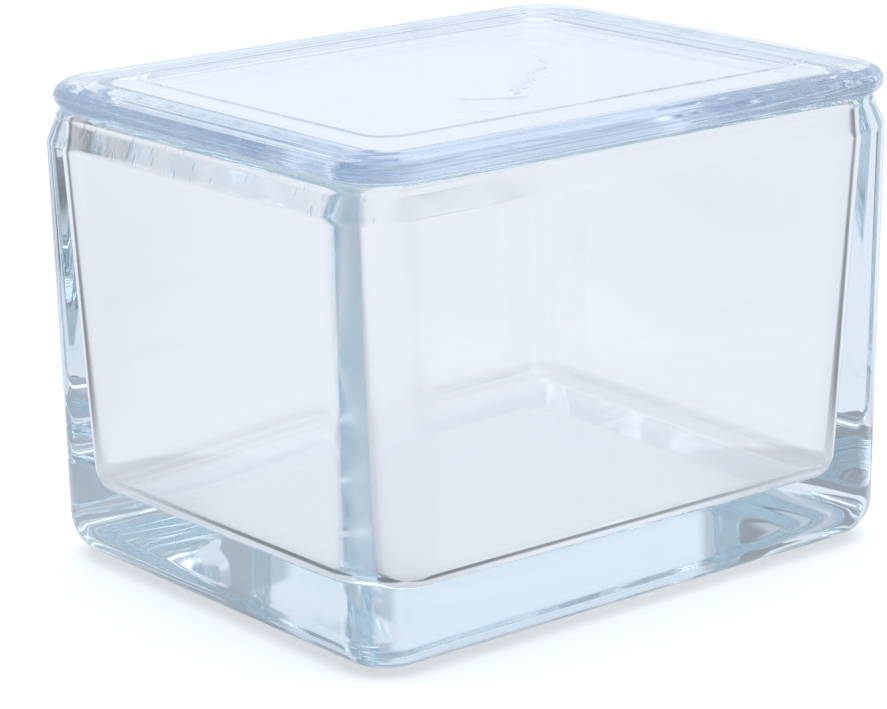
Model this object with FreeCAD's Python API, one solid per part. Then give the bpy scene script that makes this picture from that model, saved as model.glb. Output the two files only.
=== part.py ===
"""Slide staining jar: a thick pressed-glass box with a loose pressed-glass lid.

Millimetres, +Z up.  X runs along the long side and Y along the short side.  The origin is the
centre of the foot, on the surface that the jar stands on.

The jar is one pressing.  Its outside widens a little from the foot to a shoulder and then draws
in to a narrower neck, whose flat rim carries the lid.  Its cavity has its own draft, so the walls
are thickest at the foot, over a thick solid base.  The lid is a second pressing: a slab with a
rounded edge, a shallow sunk panel on top, and a boss underneath that drops into the mouth and
keeps the lid from sliding off.
"""
import FreeCAD, Part
import os

# Overall size, lid on
overall_length = 105.0       # widest outline, at the shoulder
overall_width = 85.0
overall_height = 75.0        # foot to the top of the lid

# Jar, outside
body_corner_radius = 10.0    # upright corners, at the shoulder
shoulder_height = 65.6
base_draft = 1.2             # each side of the outline draws in by this much, shoulder to foot
foot_radius = 6.5            # rounding where the sides turn under
shoulder_radius = 0.5
neck_inset = 2.1             # each side of the outline draws in by this much, shoulder to rim

# Jar, cavity
end_wall = 4.2               # wall at the rim, across the two short ends
side_wall = 2.8              # wall at the rim, along the two long sides
end_draft = 3.8              # each short end of the cavity leans in by this much, rim to floor
side_draft = 2.9             # each long side of the cavity leans in by this much, rim to floor
base_thickness = 11.0
cavity_corner_radius = 4.0
floor_radius = 3.2           # rounding between the cavity's walls and its floor
rim_outer_radius = 1.2
rim_inner_radius = 1.0

# Lid
lid_thickness = 4.5          # slab, from the rim up
lid_setback = 0.6            # lid edge inside the jar's widest outline, each side
lid_corner_radius = 10.0
lid_edge_radius = 2.1
boss_depth = 2.0             # boss below the slab
boss_clearance = 1.9         # boss to the mouth, each side
boss_corner_radius = 5.0
boss_draft = 0.6             # each side of the boss draws in by this much over its depth
boss_edge_radius = 0.5
lid_rest_x = 0.2             # the loose lid lies a little off centre, within the boss's clearance
lid_rest_y = -0.6
panel_margin = 11.3          # lid edge to the sunk panel
panel_depth = 0.6
panel_slope = 1.0            # run of the sloping step down into the panel
panel_corner_radius = 5.0

# Worked out from the sizes above
rim_height = overall_height - lid_thickness
mouth_length = overall_length - 2 * (neck_inset + end_wall)
mouth_width = overall_width - 2 * (neck_inset + side_wall)
lid_length = overall_length - 2 * lid_setback
lid_width = overall_width - 2 * lid_setback


def outline(length, width, radius, height):
    """Closed wire: a rectangle with round corners, centred on Z, lying at one height."""
    x, y = length / 2, width / 2
    centre_x, centre_y = x - radius, y - radius
    diagonal = radius * 0.5 ** 0.5

    def point(px, py):
        return FreeCAD.Vector(px, py, height)

    edges = []
    for sx, sy in ((1, 1), (-1, 1), (-1, -1), (1, -1)):
        on_end = point(sx * x, sy * centre_y)
        middle = point(sx * (centre_x + diagonal), sy * (centre_y + diagonal))
        on_side = point(sx * centre_x, sy * y)
        if sx == sy:
            first, last = on_end, on_side
        else:
            first, last = on_side, on_end
        if edges:
            edges.append(Part.makeLine(edges[-1].Vertexes[-1].Point, first))
        edges.append(Part.Arc(first, middle, last).toShape())
    edges.append(Part.makeLine(edges[-1].Vertexes[-1].Point, edges[0].Vertexes[0].Point))
    return Part.Wire(edges)


def drafted_block(lower, upper):
    """Solid with straight sloping sides between two outlines."""
    return Part.makeLoft([lower, upper], True, True)


def edges_at(shape, height):
    """The edges that lie flat at one height, outermost loop first."""
    flat = [e for e in shape.Edges
            if abs(e.BoundBox.ZMin - height) < 1e-4 and abs(e.BoundBox.ZMax - height) < 1e-4]
    loops = [Part.Wire(group) for group in Part.sortEdges(flat)]
    loops.sort(key=lambda loop: loop.BoundBox.DiagonalLength, reverse=True)
    return [loop.Edges for loop in loops]


def make_jar():
    """One pressing: drafted body and neck, less the drafted cavity."""
    foot = outline(overall_length - 2 * base_draft, overall_width - 2 * base_draft,
                   body_corner_radius - base_draft, 0)
    shoulder = outline(overall_length, overall_width, body_corner_radius, shoulder_height)
    rim = outline(overall_length - 2 * neck_inset, overall_width - 2 * neck_inset,
                  body_corner_radius - neck_inset, rim_height)
    body = drafted_block(foot, shoulder).fuse(drafted_block(shoulder, rim)).removeSplitter()
    body = body.makeFillet(foot_radius, edges_at(body, 0)[0])
    body = body.makeFillet(shoulder_radius, edges_at(body, shoulder_height)[0])

    cavity_floor = outline(mouth_length - 2 * end_draft, mouth_width - 2 * side_draft,
                           cavity_corner_radius, base_thickness)
    mouth = outline(mouth_length, mouth_width, cavity_corner_radius, rim_height)
    cavity = drafted_block(cavity_floor, mouth)
    cavity = cavity.makeFillet(floor_radius, edges_at(cavity, base_thickness)[0])
    body = body.cut(cavity)

    # The rim keeps a flat land between its two roundings, however thin the wall
    thinner_wall = min(end_wall, side_wall)
    outer_loop, inner_loop = edges_at(body, rim_height)
    body = body.makeFillet(min(rim_outer_radius, 0.45 * thinner_wall), outer_loop)
    inner_loop = edges_at(body, rim_height)[1]
    return body.makeFillet(min(rim_inner_radius, 0.4 * thinner_wall), inner_loop)


def make_lid():
    """Second pressing: slab with a rounded edge, boss below, sunk panel above."""
    slab = drafted_block(outline(lid_length, lid_width, lid_corner_radius, rim_height),
                         outline(lid_length, lid_width, lid_corner_radius, overall_height))
    edge_radius = min(lid_edge_radius, 0.47 * lid_thickness)
    slab = slab.makeFillet(edge_radius, edges_at(slab, overall_height)[0]
                           + edges_at(slab, rim_height)[0])

    boss_length = mouth_length - 2 * boss_clearance
    boss_width = mouth_width - 2 * boss_clearance
    boss = drafted_block(outline(boss_length - 2 * boss_draft, boss_width - 2 * boss_draft,
                                 boss_corner_radius - boss_draft, rim_height - boss_depth),
                         outline(boss_length, boss_width, boss_corner_radius, rim_height))
    boss = boss.makeFillet(min(boss_edge_radius, 0.45 * boss_depth),
                           edges_at(boss, rim_height - boss_depth)[0])

    panel_length = lid_length - 2 * panel_margin
    panel_width = lid_width - 2 * panel_margin
    panel = drafted_block(outline(panel_length - 2 * panel_slope, panel_width - 2 * panel_slope,
                                  panel_corner_radius - panel_slope, overall_height - panel_depth),
                          outline(panel_length, panel_width, panel_corner_radius, overall_height))
    lid = slab.fuse(boss).cut(panel).removeSplitter()
    lid.translate(FreeCAD.Vector(lid_rest_x, lid_rest_y, 0))
    return lid


os.makedirs("parts", exist_ok=True)
for name, shape in (("jar", make_jar()), ("lid", make_lid())):
    solid = shape.Solids[0]
    solid.exportStep("parts/" + name + ".step")
    print(name, "valid", solid.isValid(), "volume", round(solid.Volume), "mm3")
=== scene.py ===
"""Slide staining jar: a thick pressed glass trough and the loose pressed glass lid that covers it.

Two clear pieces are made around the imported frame, and each stands for the CAD solid of its name.
Lengths are in metres in the frame's own axes: X along the jar, Y across it, Z up from the foot.
"""

import math

import bpy
import numpy as np
from mathutils import Matrix, Vector


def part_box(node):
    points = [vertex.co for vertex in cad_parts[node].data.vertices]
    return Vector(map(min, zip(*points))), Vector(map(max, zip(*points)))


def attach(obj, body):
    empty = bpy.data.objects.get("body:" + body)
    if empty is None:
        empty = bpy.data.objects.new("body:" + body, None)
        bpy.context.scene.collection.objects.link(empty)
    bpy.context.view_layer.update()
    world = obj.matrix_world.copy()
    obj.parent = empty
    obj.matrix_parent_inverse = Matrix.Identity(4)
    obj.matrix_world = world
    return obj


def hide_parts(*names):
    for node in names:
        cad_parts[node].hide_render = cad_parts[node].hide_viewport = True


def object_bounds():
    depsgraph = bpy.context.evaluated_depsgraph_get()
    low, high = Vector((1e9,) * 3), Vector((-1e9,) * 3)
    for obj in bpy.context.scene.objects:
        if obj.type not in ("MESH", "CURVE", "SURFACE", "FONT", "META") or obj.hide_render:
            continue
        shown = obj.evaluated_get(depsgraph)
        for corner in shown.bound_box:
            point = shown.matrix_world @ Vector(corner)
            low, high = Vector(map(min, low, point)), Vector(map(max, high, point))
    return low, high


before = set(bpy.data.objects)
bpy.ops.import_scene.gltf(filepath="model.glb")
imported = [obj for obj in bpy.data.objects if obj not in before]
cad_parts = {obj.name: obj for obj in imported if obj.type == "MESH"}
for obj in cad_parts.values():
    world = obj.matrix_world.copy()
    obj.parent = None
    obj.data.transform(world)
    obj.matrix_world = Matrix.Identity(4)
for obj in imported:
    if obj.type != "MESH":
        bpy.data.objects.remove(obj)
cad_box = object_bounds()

# ------------------------------------------------------------------------------------------ Camera
# A long lens looks down on the near corner, past the end face on the left and the long face on the
# right. Headings are in degrees clockwise from +Y, seen from above.
VIEW_HEADING = 38.716
VIEW_DROP = 15.542
VIEW_ROLL = -0.957
VIEW_DISTANCE = 0.50056
VIEW_TARGET = Vector((-0.01614, -0.01368, -0.00135))   # from the middle of the whole object
LENS = 137.37
SENSOR = 36.0
NEAREST_SEEN = 0.01


def direction(heading, rise):
    """Unit vector at a heading and at a rise above the horizon, both in degrees."""
    turn, lift = math.radians(heading), math.radians(rise)
    return Vector((math.sin(turn) * math.cos(lift), math.cos(turn) * math.cos(lift), math.sin(lift)))


def place_camera():
    """The camera: its axes are the view direction, the level line across it and their cross product,
    turned about the view direction by the roll."""
    ahead = direction(VIEW_HEADING, -VIEW_DROP)
    right = ahead.cross(Vector((0, 0, 1))).normalized()
    axes = Matrix((right, right.cross(ahead), -ahead)).transposed()
    axes = axes @ Matrix.Rotation(math.radians(VIEW_ROLL), 3, "Z")
    camera = bpy.data.objects.new("camera", bpy.data.cameras.new("camera"))
    camera.data.lens = LENS
    camera.data.sensor_width = SENSOR
    camera.data.clip_start = NEAREST_SEEN
    middle = (cad_box[0] + cad_box[1]) / 2
    camera.matrix_world = Matrix.Translation(middle + VIEW_TARGET - VIEW_DISTANCE * ahead) @ axes.to_4x4()
    bpy.context.scene.collection.objects.link(camera)
    bpy.context.scene.camera = camera


place_camera()

# --------------------------------------------------------------------------------------------- Jar
# One pressing in clear soda-lime glass. The mould shapes the outside and a plunger the cavity, so
# both have draft and the walls thicken down to a heavy solid base. It stands free on its foot, and
# its rim is ground flat for the lid.
JAR_LOW, JAR_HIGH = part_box("jar")
HALF_LENGTH = (JAR_HIGH.x - JAR_LOW.x) / 2
HALF_WIDTH = (JAR_HIGH.y - JAR_LOW.y) / 2
RIM_Z = JAR_HIGH.z
SHOULDER_Z = 0.0656
BODY_CORNER = 0.010
BASE_DRAFT = 0.0012
FOOT_RADIUS = 0.0065
SHOULDER_REACH = 0.0005
NECK_INSET = 0.0021
END_WALL, SIDE_WALL = 0.0042, 0.0028
END_DRAFT, SIDE_DRAFT = 0.0038, 0.0029
FLOOR_Z = 0.011
CAVITY_CORNER = 0.004
FLOOR_RADIUS = 0.0032
RIM_OUTER, RIM_INNER = 0.0012, 0.0010
CORNER_STEPS, LONG_STEPS, SHORT_STEPS = 24, 60, 50
FLAT_RINGS, WALL_RINGS = 24, 40
CENTRE_SHARE = 0.03          # the innermost ring of a flat face, as a share of the face
CORNER_SATIN_REACH = 0.004   # how far the satin of a corner fades out along the flats beside it
GLASS_IOR = 1.52
JAR_TINT, JAR_TINT_PER_METRE = (0.6, 0.78, 0.85), 4.0
WHITE = (1.0, 1.0, 1.0, 1.0)
# The scratches on the neck: they are cut from noise drawn out up and down, where it is high enough.
SCRATCH_DRAWN, SCRATCH_SCALE, SCRATCH_DETAIL = (1.0, 1.0, 0.05), 1100.0, 2.0
SCRATCH_FROM, SCRATCH_FULL = 0.63, 0.70
SCRATCH_MORE, SCRATCH_MORE_FROM, SCRATCH_MORE_FULL = 0.09, -0.005, 0.03   # more of them towards +Y
SCRATCH_COLOUR, SCRATCH_SHARE = (0.55, 0.60, 0.66, 1.0), 0.8
SCRATCH_ROUGHNESS, SCRATCH_HEIGHT = 0.05, -0.00001
NECK_FADE = 0.0005           # how far above the shoulder the finish of the neck comes in
END_FROM, END_FULL = 0.006, 0.003   # how far inside the ends it begins and is whole


def rounded_path(corner_steps=CORNER_STEPS, long_steps=LONG_STEPS, short_steps=SHORT_STEPS):
    """The way round a rounded rectangle, as four arrays for its points: the corner (cx, cy) that each
    belongs to, from -1 to 1 along a side, and the unit direction (nx, ny) that it faces. A ring with half
    sizes a and b and corner radius r is then x = cx (a - r) + nx r and y = cy (b - r) + ny r."""
    rows = []
    corners = [(1, 1), (-1, 1), (-1, -1), (1, -1)]
    for turn, (here, after) in enumerate(zip(corners, corners[1:] + corners[:1])):
        angle = np.linspace(turn, turn + 1, corner_steps + 1) * np.pi / 2
        rows.append(np.stack([here[0] + 0 * angle, here[1] + 0 * angle, np.cos(angle), np.sin(angle)]))
        share = np.linspace(0, 1, (long_steps, short_steps)[turn % 2] + 1)[1:-1]
        side = [start + (stop - start) * share for start, stop in zip(here, after)]
        facing = [np.full(share.size, function(angle[-1])) for function in (np.cos, np.sin)]
        rows.append(np.stack(side + facing))
    return np.concatenate(rows, axis=1)


def stretch(half_x, half_y, corner, height):
    """One run of a profile: a row of half length, half width, corner radius and height for each ring."""
    return np.stack(np.broadcast_arrays(half_x, half_y, corner, height), axis=-1).reshape(-1, 4)


def quarter(start, stop, steps):
    """Cosines and sines of the angles from start to stop degrees, without the first."""
    angle = np.radians(np.linspace(start, stop, steps + 1)[1:])
    return np.cos(angle), np.sin(angle)


def waves(x, y, z, pitch, seed, count=7):
    """Slow unevenness from 0 to 1: count sine waves added up, each in a seeded direction and 0.7 to 1.5
    times the given pitch long."""
    rng = np.random.default_rng(seed)
    heading = rng.normal(size=(count, 3))
    length = pitch * rng.uniform(0.7, 1.5, (count, 1))
    heading *= 2 * np.pi / (length * np.linalg.norm(heading, axis=1, keepdims=True))
    phase = rng.uniform(0, 2 * np.pi, count)
    total = sum(np.sin(x * h[0] + y * h[1] + z * h[2] + p) for h, p in zip(heading, phase))
    return 0.5 + total / (2 * count)


def pressed_skin(name, profile, sag, satin, pitch, seed, centre=(0.0, 0.0)):
    """Closed glass skin: each row of the profile becomes a ring of the rounded path, neighbouring rings are
    joined by four-sided faces and the first and last ring by a fan about their middle. Every point is then
    pressed into the glass, along the skin's own normal, by its ring's sag times the slow waves. Each ring's
    satin is its roughness on the flats and at the corners, and is kept on the points as an attribute."""
    cx, cy, nx, ny = rounded_path()
    half_x, half_y, corner, height = profile.T[:, :, None]
    x = cx * (half_x - corner) + nx * corner
    y = cy * (half_y - corner) + ny * corner
    grid = np.stack([x, y, height + 0 * x], axis=-1)
    around = np.roll(grid, -1, axis=1) - np.roll(grid, 1, axis=1)
    along = np.gradient(grid, axis=0)
    normal = np.cross(around, along)
    normal /= np.linalg.norm(normal, axis=-1, keepdims=True) + 1e-12    # a point with no normal stays put
    grid -= normal * (sag[:, None] * waves(*np.moveaxis(grid, -1, 0), pitch, seed))[..., None]
    off_corner = np.maximum((1 - abs(cx)) * (half_x - corner), (1 - abs(cy)) * (half_y - corner))
    nearness = np.clip(1 - off_corner / CORNER_SATIN_REACH, 0, 1)
    rough = satin[:, :1] + (satin[:, 1:] - satin[:, :1]) * nearness
    rings, count = x.shape
    points = np.concatenate([grid.reshape(-1, 3), grid[[0, -1]].mean(axis=1)]) + (*centre, 0.0)
    row = np.arange(rings - 1)[:, None] * count
    here = np.arange(count)
    after = (here + 1) % count
    walls = np.stack([row + here, row + after, row + count + after, row + count + here], axis=-1)
    last = (rings - 1) * count
    first_fan = np.stack([np.full(count, rings * count), after, here], axis=-1)
    last_fan = np.stack([np.full(count, rings * count + 1), last + here, last + after], axis=-1)
    faces = walls.reshape(-1, 4).tolist() + first_fan.tolist() + last_fan.tolist()
    mesh = bpy.data.meshes.new(name)
    mesh.from_pydata(points.tolist(), [], faces)
    mesh.shade_smooth()
    skin_satin = mesh.attributes.new("satin", "FLOAT", "POINT")
    skin_satin.data.foreach_set("value", np.concatenate([rough.ravel(), rough[0, :1], rough[-1, :1]]))
    piece = bpy.data.objects.new(name, mesh)
    bpy.context.scene.collection.objects.link(piece)
    return piece


def outer_inset(z):
    """How far each side of the jar lies inside its widest outline at height z, below the shoulder."""
    return BASE_DRAFT * (SHOULDER_Z - z) / SHOULDER_Z


def outside(inset, z):
    """Rings of the jar's outside at an inset from the widest outline."""
    return stretch(HALF_LENGTH - inset, HALF_WIDTH - inset, BODY_CORNER - inset, z)


def cavity(z, grow=0.0):
    """Rings of the cavity at height z, grown outwards: it draws in evenly from the rim to its floor."""
    depth = (RIM_Z - z) / (RIM_Z - FLOOR_Z)
    half_x = HALF_LENGTH - NECK_INSET - END_WALL - END_DRAFT * depth + grow
    half_y = HALF_WIDTH - NECK_INSET - SIDE_WALL - SIDE_DRAFT * depth + grow
    return stretch(half_x, half_y, CAVITY_CORNER + grow, z)


def joined(runs):
    """Puts runs of rings end to end, and gives each ring its run's wave depth and satin."""
    profile = np.concatenate([run[0] for run in runs])
    values = np.concatenate([np.tile(run[1:], (len(run[0]), 1)) for run in runs])
    return profile, values[:, 0], values[:, 1:]


def jar_profile():
    """Rings from the middle of the foot, out and up the outside, over the rim, down the cavity and across
    its floor, with the wave depth, the satin on the flats and the satin at the corners of each run."""
    share = np.linspace(CENTRE_SHARE, 1, FLAT_RINGS)[:, None]
    foot = outside(BASE_DRAFT + FOOT_RADIUS, 0.0) * share
    c, s = quarter(-90, 0, 20)
    turned = FOOT_RADIUS * (1 + s)
    foot_round = outside(outer_inset(turned) + FOOT_RADIUS * (1 - c), turned)
    wall_z = np.linspace(FOOT_RADIUS, SHOULDER_Z - SHOULDER_REACH, WALL_RINGS)[1:]
    wall = outside(outer_inset(wall_z), wall_z)
    neck_slope = NECK_INSET / (RIM_Z - SHOULDER_Z)
    t = np.linspace(0, 1, 8)[1:]
    below, above = outer_inset(SHOULDER_Z - SHOULDER_REACH), neck_slope * SHOULDER_REACH
    shoulder = outside((1 - t) ** 2 * below + t ** 2 * above, SHOULDER_Z + (2 * t - 1) * SHOULDER_REACH)
    neck_z = np.linspace(SHOULDER_Z + SHOULDER_REACH, RIM_Z - RIM_OUTER, 9)[1:]
    neck = outside(neck_slope * (neck_z - SHOULDER_Z), neck_z)
    c, s = quarter(0, 90, 10)
    neck_top = neck_slope * (RIM_Z - RIM_OUTER - SHOULDER_Z)
    rim_out = outside(neck_top + RIM_OUTER * (1 - c), RIM_Z - RIM_OUTER + RIM_OUTER * s)
    t = np.linspace(0, 1, 6)[1:, None]
    land = rim_out[-1] * (1 - t) + cavity(RIM_Z, RIM_INNER)[0] * t
    c, s = quarter(0, 90, 9)
    rim_in = cavity(RIM_Z - RIM_INNER * (1 - c), RIM_INNER * (1 - s))
    cavity_z = np.linspace(RIM_Z - RIM_INNER, FLOOR_Z + FLOOR_RADIUS, WALL_RINGS)[1:]
    inner = cavity(cavity_z)
    c, s = quarter(0, 90, 16)
    floor_round = cavity(FLOOR_Z + FLOOR_RADIUS * (1 - s), -FLOOR_RADIUS * (1 - c))
    share = np.linspace(1, CENTRE_SHARE, FLAT_RINGS)[1:, None]
    floor = floor_round[-1] * share
    floor[:, 3] = FLOOR_Z
    return joined([
        (foot, 5e-5, 0.05, 0.05),
        (foot_round, 4e-5, 0, 0),
        (wall, 3e-5, 0, 0),
        (shoulder, 1e-5, 0, 0),
        (neck, 1e-5, 0.14, 0.05),
        (rim_out, 0, 0, 0),
        (land, 0, 0.05, 0.05),
        (rim_in, 1e-5, 0.03, 0.03),
        (inner, 6e-5, 0, 0.20),
        (floor_round, 6e-5, 0, 0),
        (floor, 8e-5, 0.01, 0.01),
    ])


class Wire:
    """One output in a node tree. An expression on wires and numbers adds its Math nodes."""

    def __init__(self, nodes, socket):
        self.nodes = nodes
        self.socket = socket

    def math(self, operation, first, second=0.0):
        return self.nodes.add("Math", {"operation": operation}, {0: first, 1: second})

    def __add__(self, other):
        return self.math("ADD", self, other)

    def __sub__(self, other):
        return self.math("SUBTRACT", self, other)

    def __rsub__(self, other):
        return self.math("SUBTRACT", other, self)

    def __mul__(self, other):
        return self.math("MULTIPLY", self, other)

    def __truediv__(self, other):
        return self.math("DIVIDE", self, other)

    def __rtruediv__(self, other):
        return self.math("DIVIDE", other, self)

    def __abs__(self):
        return self.math("ABSOLUTE", self)

    __radd__ = __add__
    __rmul__ = __mul__


class Nodes:
    """The node tree of a material or world. add() makes a node, applies its settings and fills its
    sockets with values and links."""

    def __init__(self, owner):
        owner.use_nodes = True
        self.tree = owner.node_tree
        self.tree.nodes.clear()

    def add(self, kind, settings=None, sockets=None, output=0):
        node = self.tree.nodes.new("ShaderNode" + kind)
        for name, value in (settings or {}).items():
            setattr(node, name, value)
        for name, value in (sockets or {}).items():
            if isinstance(value, Wire):
                self.tree.links.new(value.socket, node.inputs[name])
            else:
                node.inputs[name].default_value = value
        return Wire(self, node.outputs[output]) if node.outputs else node

    def axes(self, place, names="XYZ"):
        """The parts of a position along the named axes."""
        return (self.add("SeparateXYZ", {}, {"Vector": place}, output=name) for name in names)

    def step(self, value, low, high):
        """0 below low, 1 above high and a smooth step between; low may be the larger."""
        sockets = {"Value": value, "From Min": low, "From Max": high}
        return self.add("MapRange", {"interpolation_type": "SMOOTHSTEP"}, sockets)

    def noise(self, place, factors, scale, detail):
        """Noise from 0 to 1. The position is first multiplied by a factor for each axis, and a small factor
        draws the noise out along its axis."""
        drawn = self.add("Mapping", {"vector_type": "POINT"}, {"Vector": place, "Scale": factors})
        return self.add("TexNoise", {}, {"Vector": drawn, "Scale": scale, "Detail": detail})

    def tinted(self, share, colour):
        """White, turned towards a colour by a share from 0 to 1."""
        sockets = {"Factor": share, "A": WHITE, "B": colour}
        return self.add("Mix", {"data_type": "RGBA"}, sockets, output="Result")


def glass(name, tint, tint_per_metre, finish):
    """Clear glass: the body of the piece takes up a little light, and its skin is polished apart from its
    satin. finish(nodes, place) gives the finish of its worked areas: where they lie, and there the colour,
    the added roughness and the bump height in metres."""
    material = bpy.data.materials.new(name)
    nodes = Nodes(material)
    place = nodes.add("TexCoord", output="Object")
    satin = nodes.add("Attribute", {"attribute_name": "satin"}, output="Fac")
    clear = {"IOR": GLASS_IOR, "Transmission Weight": 1.0}
    plain = nodes.add("BsdfPrincipled", {}, {"Base Color": WHITE, "Roughness": satin, **clear})
    mask, colour, roughness, height = finish(nodes, place)
    normal = nodes.add("Bump", {}, {"Height": height, "Distance": 1.0, "Strength": 1.0})
    worked = nodes.add("BsdfPrincipled", {}, {
        "Base Color": colour, "Roughness": satin + roughness, "Normal": normal, **clear})
    skin = nodes.add("MixShader", {}, {0: mask, 1: plain, 2: worked})
    body = nodes.add("VolumeAbsorption", {}, {"Color": (*tint, 1.0), "Density": tint_per_metre})
    nodes.add("OutputMaterial", {}, {"Surface": skin, "Volume": body})
    return material


def neck_finish(nodes, place):
    """The end faces of the neck, finely scratched up and down, and more so towards +Y."""
    x, y, z = nodes.axes(place)
    on_neck = nodes.step(z, SHOULDER_Z, SHOULDER_Z + NECK_FADE)
    on_end = nodes.step(abs(x), HALF_LENGTH - END_FROM, HALF_LENGTH - END_FULL)
    more = nodes.step(y, SCRATCH_MORE_FROM, SCRATCH_MORE_FULL)
    grain = nodes.noise(place, SCRATCH_DRAWN, SCRATCH_SCALE, SCRATCH_DETAIL) + more * SCRATCH_MORE
    scratches = nodes.step(grain, SCRATCH_FROM, SCRATCH_FULL)
    shade = nodes.tinted(scratches * SCRATCH_SHARE, SCRATCH_COLOUR)
    return on_neck * on_end, shade, scratches * SCRATCH_ROUGHNESS, scratches * SCRATCH_HEIGHT


jar = pressed_skin("jar_glass", *jar_profile(), pitch=0.022, seed=5)
jar.data.materials.append(glass("jar_glass", JAR_TINT, JAR_TINT_PER_METRE, neck_finish))
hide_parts("jar")
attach(jar, "root")

# --------------------------------------------------------------------------------------------- Lid
# A separate pressing in slightly bluer glass: a slab with a rounded edge, a shallow sunk panel on
# top and a boss underneath that drops into the mouth. It only lies on the rim, a little off centre.
LID_LOW, LID_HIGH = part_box("lid")
LID_HALF_LENGTH = (LID_HIGH.x - LID_LOW.x) / 2
LID_HALF_WIDTH = (LID_HIGH.y - LID_LOW.y) / 2
LID_CENTRE = ((LID_HIGH.x + LID_LOW.x) / 2, (LID_HIGH.y + LID_LOW.y) / 2)
AIR_FILM = 0.00003           # between the slab and the rim it lies on
LID_BOTTOM, LID_TOP = RIM_Z + AIR_FILM, LID_HIGH.z
LID_CORNER = 0.010
LID_EDGE_RADIUS = 0.0021
LID_TOP_REACH, LID_TOP_FALL = 0.0037, 0.0023    # the top edge falls away further in than it drops
LID_FLOW, LID_FLOW_LINES = 0.00006, 3           # depth and number of the press lines along that edge
BOSS_HALF_LENGTH, BOSS_HALF_WIDTH = 0.0443, 0.0357
BOSS_DEPTH = RIM_Z - LID_LOW.z
BOSS_CORNER = 0.005
BOSS_DRAFT = 0.0006
BOSS_EDGE_RADIUS = 0.0005
PANEL_MARGIN = 0.0113
PANEL_DEPTH = 0.0006
PANEL_SLOPE = 0.001
PANEL_CORNER = 0.005
GROOVE_WIDTH, GROOVE_DEPTH = 0.0018, 0.00013    # the shallow line that the plunger leaves round the panel
GROOVE_CORNER, GROOVE_CORNER_GROWTH = 0.0038, 1.4   # its inner corner radius, and the gain per width outwards
LID_TINT, LID_TINT_PER_METRE = (0.57, 0.73, 0.925), 5.2
# The chill mark and its tail: middle, degrees turned from X towards Y, reach each way, half width.
MARK = ((0.0058, -0.0081), 45.0, 0.019, 0.0009)
TAIL = ((-0.0097, -0.0180), -36.0, 0.006, 0.0007)
SWING_FACTORS, SWING_SCALE, SWING_DETAIL = (1.0, 1.0, 0.0), 110.0, 1.0   # the noise that winds them
MARK_SWING, TAIL_SWING_SHARE = 0.008, 0.3       # how widely, and the tail's share of it
STROKE_CORE, STROKE_SOLID = 0.2, 0.6            # shares of the width and reach over which it is whole
MARK_COLOUR, MARK_SHARE = (0.76, 0.76, 0.86, 1.0), 0.7
MARK_ROUGHNESS, MARK_HEIGHT = 0.02, 0.00007
PANEL_FROM, PANEL_FULL = 0.001, 0.0005          # how far below the top the finish of the panel comes in


def lid_ring(inset, z):
    """Rings of the slab at an inset from its outline."""
    return stretch(LID_HALF_LENGTH - inset, LID_HALF_WIDTH - inset, LID_CORNER - inset, z)


def panel_ring(inset, corner, z):
    """Rings about the sunk panel at an inset from the slab's outline, with their own corner radius."""
    return stretch(LID_HALF_LENGTH - inset, LID_HALF_WIDTH - inset, corner, z)


def boss_ring(inset, z):
    """Rings of the boss at an inset from where it leaves the slab."""
    return stretch(BOSS_HALF_LENGTH - inset, BOSS_HALF_WIDTH - inset, BOSS_CORNER - inset, z)


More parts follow.
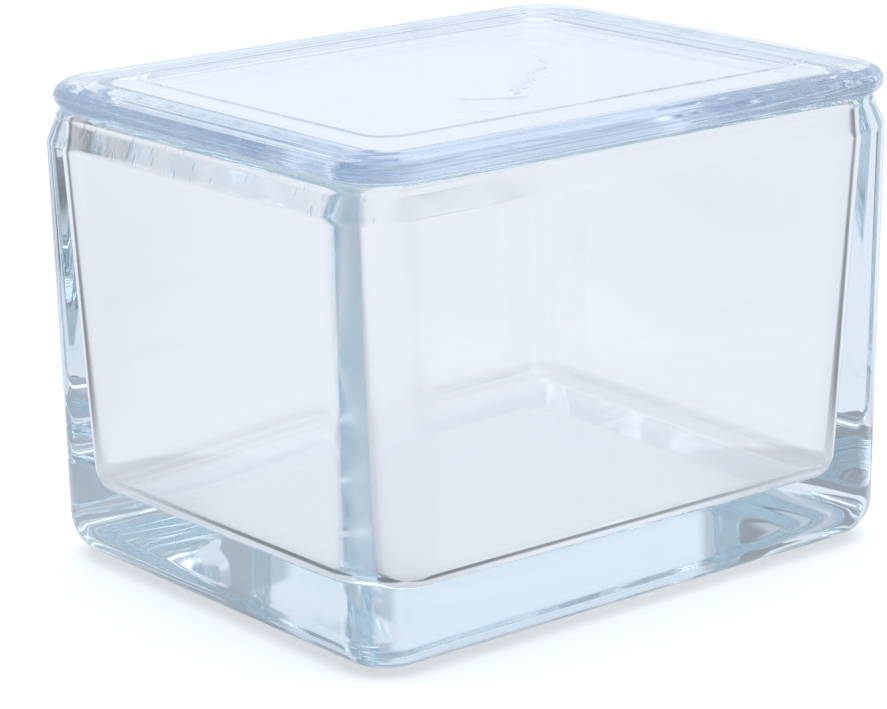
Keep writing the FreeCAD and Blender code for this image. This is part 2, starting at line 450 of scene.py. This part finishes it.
def lid_profile():
    """Rings from the middle of the boss out to its edge, up to the slab, out round the slab's edge with its
    press lines and back in over the groove and the step to the middle of the sunk panel, with each run's
    wave depth, its satin on the flats and its satin at the corners."""
    boss_low = LID_BOTTOM - BOSS_DEPTH
    share = np.linspace(CENTRE_SHARE, 1, FLAT_RINGS)[:, None]
    under = boss_ring(BOSS_DRAFT + BOSS_EDGE_RADIUS, 0.0) * share
    under[:, 3] = boss_low
    c, s = quarter(-90, 0, 8)
    boss_edge = boss_ring(BOSS_DRAFT + BOSS_EDGE_RADIUS * (1 - c), boss_low + BOSS_EDGE_RADIUS * (1 + s))
    t = np.linspace(0, 1, 5)[1:]
    boss_side = boss_ring(BOSS_DRAFT * (1 - t), boss_edge[-1, 3] + (LID_BOTTOM - boss_edge[-1, 3]) * t)
    t = t[:, None]
    shelf = boss_side[-1] * (1 - t) + lid_ring(LID_EDGE_RADIUS, LID_BOTTOM)[0] * t
    c, s = quarter(-90, 0, 12)
    lower = lid_ring(LID_EDGE_RADIUS * (1 - c), LID_BOTTOM + LID_EDGE_RADIUS * (1 + s))
    c, s = quarter(0, 90, 24)
    flow = LID_FLOW * np.sin(np.linspace(0, np.pi * LID_FLOW_LINES, c.size)) ** 2
    upper = lid_ring(LID_TOP_REACH * (1 - c) + flow * c, LID_TOP - LID_TOP_FALL * (1 - s) - flow * s)
    t = np.linspace(0, 1, 11)[:-1]
    outwards = GROOVE_WIDTH * (1 - t)
    groove = panel_ring(PANEL_MARGIN - outwards, GROOVE_CORNER + outwards * GROOVE_CORNER_GROWTH,
                        LID_TOP - GROOVE_DEPTH * (0.5 - 0.5 * np.cos(2 * np.pi * t)))
    t = np.linspace(0, 1, 7)[1:-1, None]
    border = upper[-1] * (1 - t) + groove[0] * t
    t = np.linspace(-1, 1, 11)
    inwards = PANEL_SLOPE * (1 + t) / 2
    step = panel_ring(PANEL_MARGIN + inwards, PANEL_CORNER - inwards,
                      LID_TOP - PANEL_DEPTH * (0.5 + 0.5 * np.sin(np.pi * t / 2)))
    share = np.linspace(1, CENTRE_SHARE, FLAT_RINGS)[1:, None]
    panel = step[-1] * share
    panel[:, 3] = LID_TOP - PANEL_DEPTH
    return joined([
        (under, 8e-5, 0.04, 0.04),
        (boss_edge, 1e-5, 0, 0),
        (boss_side, 1e-5, 0, 0),
        (shelf, 0, 0.02, 0.02),
        (lower, 2e-5, 0, 0),
        (upper, 2e-5, 0.03, 0),
        (border, 3e-5, 0.05, 0.02),
        (groove, 1e-5, 0.02, 0.02),
        (step, 3e-5, 0.08, 0.2),
        (panel, 8e-5, 0, 0),
    ])


def stroke(nodes, x, y, middle, turned, reach, half_width, swing):
    """1 along a straight stroke of the panel, bent aside by swing, falling to 0 at its sides and ends."""
    run_x, run_y = math.cos(math.radians(turned)), math.sin(math.radians(turned))
    lengthways = (x - middle[0]) * run_x + (y - middle[1]) * run_y
    sideways = (y - middle[1]) * run_x - (x - middle[0]) * run_y + swing
    within = nodes.step(abs(sideways), half_width, half_width * STROKE_CORE)
    return within * nodes.step(abs(lengthways), reach, reach * STROKE_SOLID)


def panel_finish(nodes, place):
    """The sunk panel, with one winding chill mark across it and its short tail."""
    x, y, z = nodes.axes(place)
    swing = (nodes.noise(place, SWING_FACTORS, SWING_SCALE, SWING_DETAIL) - 0.5) * MARK_SWING
    mark = stroke(nodes, x, y, *MARK, swing)
    tail = stroke(nodes, x, y, *TAIL, swing * TAIL_SWING_SHARE)
    mark = nodes.add("Math", {"operation": "MAXIMUM"}, {0: mark, 1: tail})
    shade = nodes.tinted(mark * MARK_SHARE, MARK_COLOUR)
    on_panel = nodes.step(z, LID_TOP - PANEL_FROM, LID_TOP - PANEL_FULL)
    return on_panel, shade, mark * MARK_ROUGHNESS, mark * MARK_HEIGHT


lid = pressed_skin("lid_glass", *lid_profile(), pitch=0.02, seed=11, centre=LID_CENTRE)
lid.data.materials.append(glass("lid_glass", LID_TINT, LID_TINT_PER_METRE, panel_finish))
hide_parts("lid")
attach(lid, "root")

# ------------------------------------------------------------------------------------------- Floor
# A wide sheet of white paper. Seen directly it is lit and lifted to white and keeps the jar's soft
# shade. In the glass it has a painted tone, with painted shade where a dark card would stand on each
# side of the jar, a painted shadow round and under the foot and a painted lighter patch behind it.
FLOOR_REACH = 3.0
FLOOR_DROP = 0.0001          # just clear of the foot, so that the two faces stay apart
PAPER_COLOUR = (0.8, 0.8, 0.8, 1.0)
PAPER_LIFT = 0.42            # the light added to it where it is seen directly
PAPER_FIBRE_SCALE, PAPER_FIBRE_DETAIL, PAPER_FIBRE_HEIGHT = 900.0, 3.0, 0.00002
PAPER_LEVEL = 0.92           # its tone in the glass, before the shades
COOL_LIGHT = (0.95, 1.0, 1.09, 1.0)
# Each painted shade in the glass has pairs of values between which it comes in, and a depth.
# A painted shade beside and before the jar: metres ahead for each metre aside, and metres from the middle.
SIDES, SIDES_AWAY, SIDES_DEPTH = (0.62, 0.48), (0.030, 0.050), 0.20
# Two darker wedges of painted shade within those sides, where no dark card stands: their front edge,
# and their near and far ends.
PAINTED_WEDGE_FRONT, PAINTED_WEDGE_NEAR, PAINTED_WEDGE_FAR, PAINTED_WEDGE_DEPTH = (-0.05, 0.30), (0.088, 0.112), (0.42, 0.22), 0.51
# A painted shadow round the foot: metres beyond it, in and out again, and deeper on the near side.
CONTACT_IN, CONTACT_OUT, CONTACT_DEPTH = (0.0, 0.004), (0.022, 0.010), 0.08
CONTACT_NEAR_SIDE, CONTACT_NEAR_DEPTH = (0.0, -0.03), 0.46
# A painted shade under the foot: metres inside its edge.
BENEATH, BENEATH_DEPTH = (0.0, -0.006), 0.09
# A painted lighter patch behind the jar to the left: metres aside and metres ahead.
LIGHTER_ASIDE, LIGHTER_AHEAD, LIGHTER_BY = (-0.02, -0.12), (0.02, 0.10), 0.05


def along(nodes, place, way):
    """How far a position lies along a unit direction."""
    return nodes.add("VectorMath", {"operation": "DOT_PRODUCT"}, {0: place, 1: way}, output="Value")


def glass_tone(nodes, place):
    """The paper's painted tone in the glass: its plain level with a painted lighter patch behind the jar,
    less the painted shades beside it and the painted shadow round and under it.
    """
    across = along(nodes, place, direction(VIEW_HEADING + 90, 0))
    ahead = along(nodes, place, direction(VIEW_HEADING, 0))
    away = nodes.add("VectorMath", {"operation": "LENGTH"}, {0: place}, output="Value")
    facing = ahead / abs(across)
    # Painted shade beside the jar, with two darker painted wedges within it where no dark card stands.
    sides = nodes.step(facing, *SIDES)
    turned = sides * nodes.step(away, *SIDES_AWAY)
    painted_wedges = sides * nodes.step(facing, *PAINTED_WEDGE_FRONT)
    painted_wedges = painted_wedges * nodes.step(away, *PAINTED_WEDGE_NEAR) * nodes.step(away, *PAINTED_WEDGE_FAR)
    # A painted shadow round the foot, deeper on the near side, and a painted shade under the foot.
    x, y = nodes.axes(place, "XY")
    past_end = abs(x) - (HALF_LENGTH - BASE_DRAFT - FOOT_RADIUS)
    past_side = abs(y) - (HALF_WIDTH - BASE_DRAFT - FOOT_RADIUS)
    beyond = nodes.add("Math", {"operation": "MAXIMUM"}, {0: past_end, 1: past_side})
    contact = nodes.step(beyond, *CONTACT_IN) * nodes.step(beyond, *CONTACT_OUT)
    contact = contact * (CONTACT_DEPTH + nodes.step(ahead, *CONTACT_NEAR_SIDE) * CONTACT_NEAR_DEPTH)
    beneath = nodes.step(beyond, *BENEATH)
    # A painted lighter patch behind the jar to the left.
    lighter = nodes.step(across, *LIGHTER_ASIDE) * nodes.step(ahead, *LIGHTER_AHEAD)
    tone = PAPER_LEVEL + lighter * LIGHTER_BY - turned * SIDES_DEPTH
    return tone - painted_wedges * PAINTED_WEDGE_DEPTH - contact - beneath * BENEATH_DEPTH


def paper():
    """White paper. Seen directly it is a matt sheet lit by the room and lifted to white. Reflections and
    light through glass see a glow of its painted tone instead, with its painted shades, painted shadow
    and painted lighter patch."""
    material = bpy.data.materials.new("white_paper")
    material.cycles.emission_sampling = "NONE"
    nodes = Nodes(material)
    place = nodes.add("TexCoord", output="Object")
    fibre = nodes.noise(place, (1.0, 1.0, 1.0), PAPER_FIBRE_SCALE, PAPER_FIBRE_DETAIL)
    bumps = nodes.add("Bump", {}, {"Height": fibre, "Distance": PAPER_FIBRE_HEIGHT})
    sheet = nodes.add("BsdfDiffuse", {}, {"Color": PAPER_COLOUR, "Normal": bumps})
    lift = nodes.add("Emission", {}, {"Color": WHITE, "Strength": PAPER_LIFT})
    # The glow holds the painted shades, painted shadow and painted lighter patch of the paper's tone.
    glow = nodes.add("Emission", {}, {"Color": COOL_LIGHT, "Strength": glass_tone(nodes, place)})
    reflected = nodes.add("LightPath", output="Is Glossy Ray")
    refracted = nodes.add("LightPath", output="Is Transmission Ray")
    lit = nodes.add("AddShader", {}, {0: sheet, 1: lift})
    mixed = nodes.add("MixShader", {}, {0: reflected + refracted, 1: lit, 2: glow})
    nodes.add("OutputMaterial", {}, {"Surface": mixed})
    return material


def paper_sheet():
    """The floor: one square face between four corners."""
    mesh = bpy.data.meshes.new("floor")
    corners = np.array([(-1, -1, 0), (1, -1, 0), (1, 1, 0), (-1, 1, 0)]) * FLOOR_REACH - (0, 0, FLOOR_DROP)
    mesh.from_pydata(corners.tolist(), [], [(0, 1, 2, 3)])
    mesh.materials.append(paper())
    sheet = bpy.data.objects.new("floor", mesh)
    bpy.context.scene.collection.objects.link(sheet)
    return sheet


paper_sheet()

# ------------------------------------------------------------------------------------------ Studio
# A pale cool room with grey flags to the sides, which draw the edges of the glass, and soft panels
# of light above and behind. The camera sees it plain white.
ROOM_LEVEL = 0.62
ROOM_TINT = (0.91, 1.0, 1.12, 1.0)
# heading from the view direction, rise, half width, half height, softness (tangents), level
PANELS = (
    (-130, 44, 0.70, 0.12, 0.20, 0.30),
    (-92, 10, 0.35, 0.25, 0.25, 0.36),
    (0, 16, 0.35, 0.12, 0.25, 0.93),
    (-5, 34, 0.30, 0.10, 0.20, 0.80),
    (42, 50, 0.35, 0.20, 0.25, 0.86),
    (110, 22, 0.30, 0.20, 0.20, 0.50),
    (0, 88, 0.50, 0.50, 0.30, 2.00),
)
PANEL_SIDE = (0.0, 0.05)     # keeps a panel out of the half of the room that faces away from it
BOUNCES = 64                 # light crosses many faces of glass before it is out again


def studio():
    """The world: a plain level of cool light, with each panel laid over it as a soft-edged rectangle."""
    world = bpy.data.worlds.new("studio")
    world.cycles.sampling_method = "NONE"
    bpy.context.scene.world = world
    nodes = Nodes(world)
    ray = nodes.add("TexCoord", output="Generated")
    level = ROOM_LEVEL
    for heading, rise, half_wide, half_tall, soft, panel_level in PANELS:
        middle = direction(VIEW_HEADING + heading, rise)
        side = middle.cross(Vector((0, 0, 1))).normalized()
        toward = along(nodes, ray, middle)
        wide = abs(along(nodes, ray, side)) / toward
        tall = abs(along(nodes, ray, side.cross(middle))) / toward
        lit = nodes.step(wide, half_wide + soft, half_wide) * nodes.step(tall, half_tall + soft, half_tall)
        lit = lit * nodes.step(toward, *PANEL_SIDE)
        level = lit * panel_level + (1 - lit) * level
    seen = nodes.add("LightPath", output="Is Camera Ray")
    plain = nodes.add("Background", {}, {"Color": WHITE, "Strength": 1.0})
    room = nodes.add("Background", {}, {"Color": ROOM_TINT, "Strength": level})
    nodes.add("OutputWorld", {}, {"Surface": nodes.add("MixShader", {}, {0: seen, 1: room, 2: plain})})


studio()
scene = bpy.context.scene
scene.view_settings.view_transform = "Standard"
scene.cycles.max_bounces = BOUNCES
scene.cycles.transmission_bounces = BOUNCES
scene.cycles.glossy_bounces = BOUNCES
